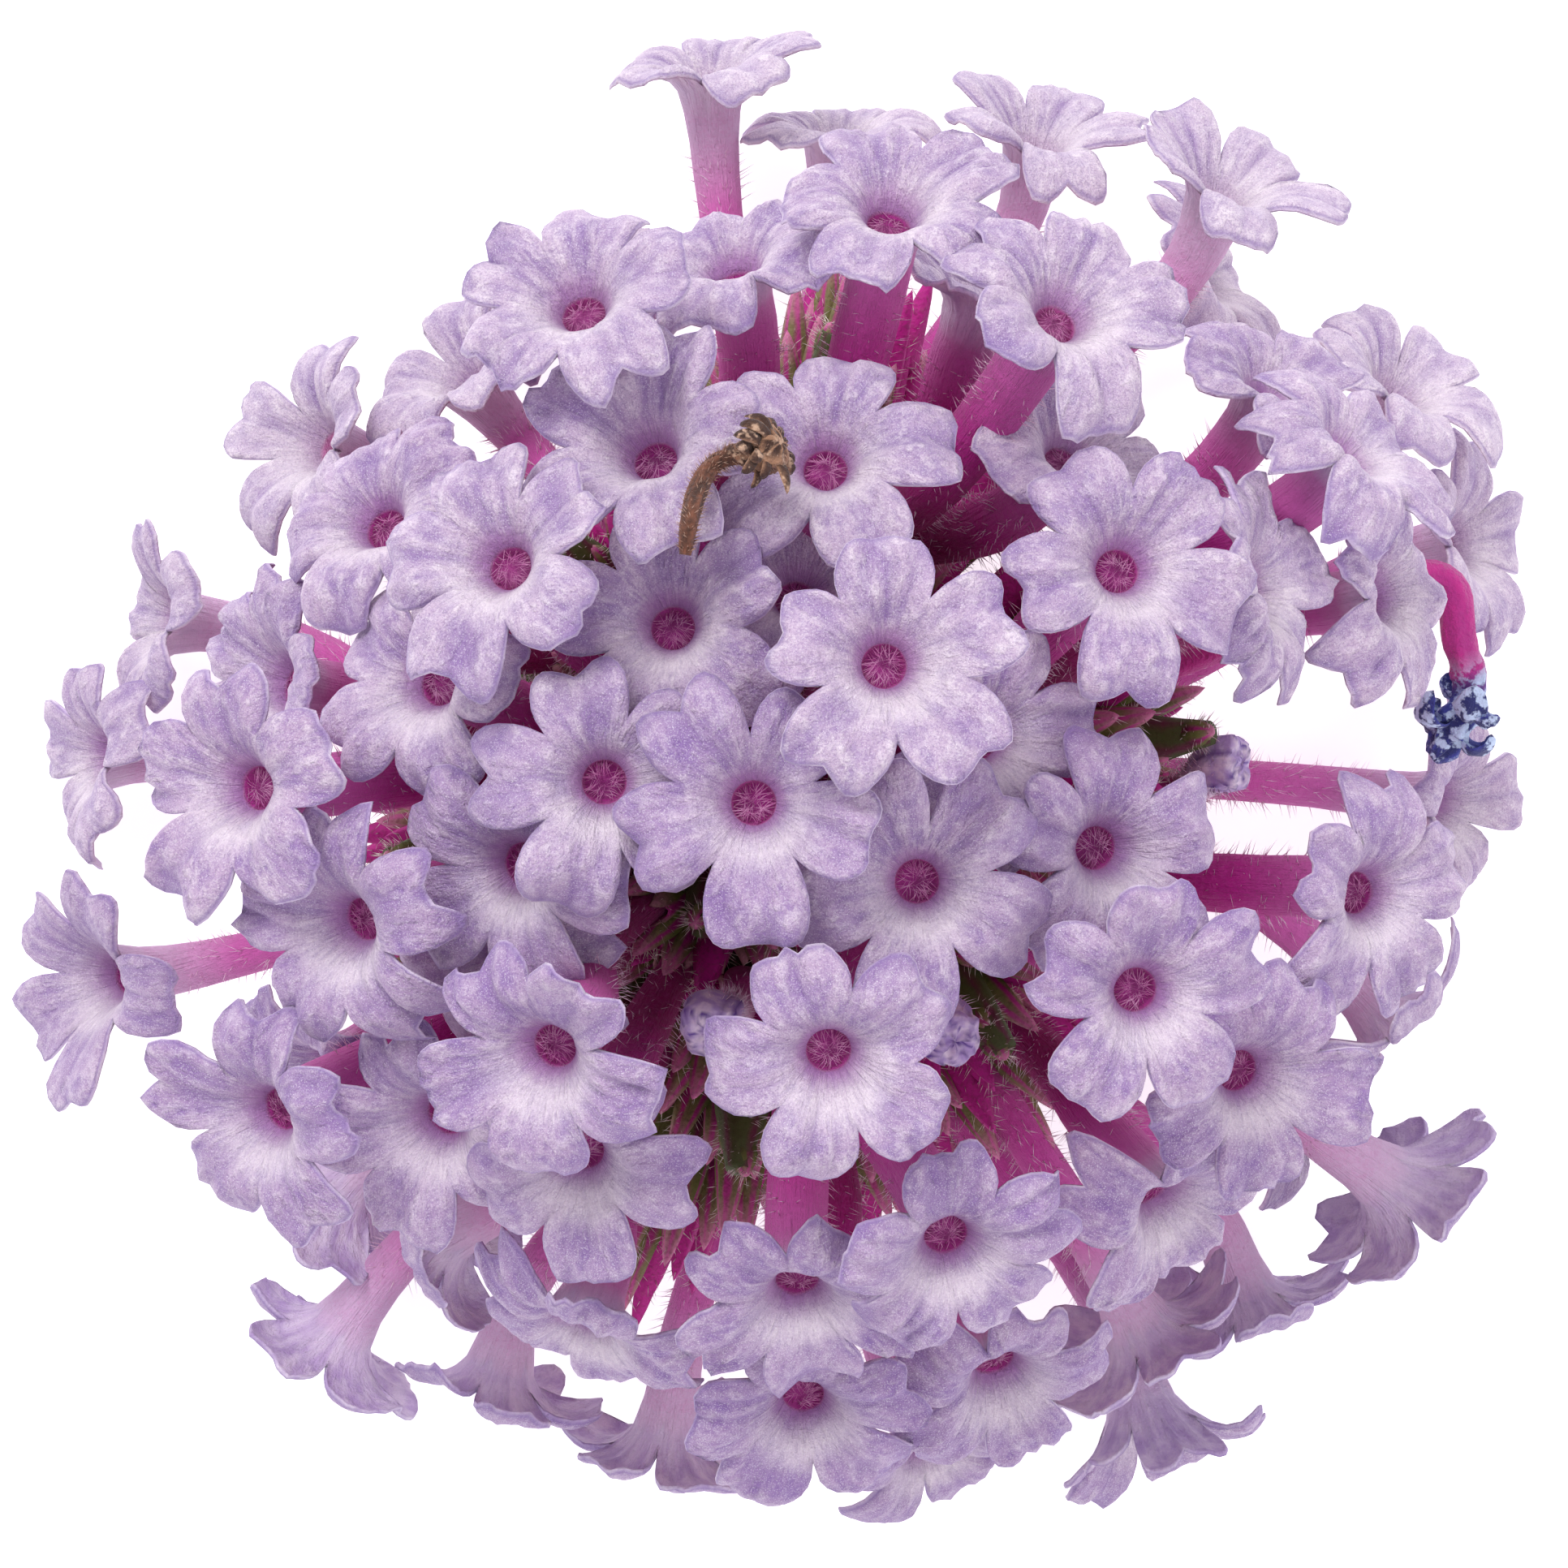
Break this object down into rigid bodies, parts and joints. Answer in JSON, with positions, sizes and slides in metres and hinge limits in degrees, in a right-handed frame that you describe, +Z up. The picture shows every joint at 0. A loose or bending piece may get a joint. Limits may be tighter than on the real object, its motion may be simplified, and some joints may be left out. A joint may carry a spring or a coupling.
{
  "type": "verbena flower head",
  "caption": "Domed verbena flower head: spikes of slender curved corolla tubes, each opening into a limb of notched petals, with calyces, buds and a short square stem stub.",
  "frame": {"origin": "centre of the head's bounding box, on the surface that its lowest petals rest on", "axes": "+Z up out of the dome of florets, along the line of sight of a viewer above it; +Y towards the spike with the longest calyces, +X to that viewer's right"},
  "size_m": [0.049, 0.048, 0.0337],
  "materials": {
    "petal": "soft, finely velvety petal tissue",
    "calyx": "hairy green and maroon calyces and buds",
    "stem": "hairy green stem",
    "withered_brown": "dry, crumpled",
    "withered_blue": "limp, crumpled"
  },
  "bodies": {
    "root": {"floret_01": "petal", "floret_02": "petal", "floret_04": "petal", "floret_05": "petal", "floret_06": "petal", "floret_09": "petal", "floret_10": "petal", "floret_11": "petal", "floret_13": "petal", "floret_15": "petal", "floret_16": "petal", "floret_26": "petal", "floret_30": "petal", "floret_32": "petal", "floret_36": "petal", "floret_37": "petal", "floret_40": "petal", "floret_44": "petal", "floret_45": "petal", "floret_46": "petal", "floret_47": "petal", "floret_48": "petal", "floret_49": "petal", "floret_50": "petal", "floret_52": "petal", "floret_57": "petal", "floret_61": "petal", "floret_65": "petal", "floret_66": "petal", "floret_67": "petal", "floret_71": "petal", "floret_72": "petal", "floret_73": "petal", "floret_74": "petal", "florets_03_07_12_14": "petal", "florets_08_17_18_19_21_70": "petal", "florets_20_22_23_24_25_31_35_41_42_43_69": "petal", "florets_27_28_29": "petal", "florets_33_34": "petal", "florets_38_39": "petal", "florets_51_53": "petal", "florets_54_55": "petal", "florets_56_58": "petal", "florets_59_60": "petal", "florets_62_63_64": "petal", "spike_bottom": "calyx", "spike_centre": "calyx", "spike_left": "calyx", "spike_lower_right": "calyx", "spike_right": "calyx", "spike_top": "calyx", "spike_upper_left": "calyx", "stem": "stem", "withered_blue": "withered_blue", "withered_brown": "withered_brown"}
  },
  "joints": []
}
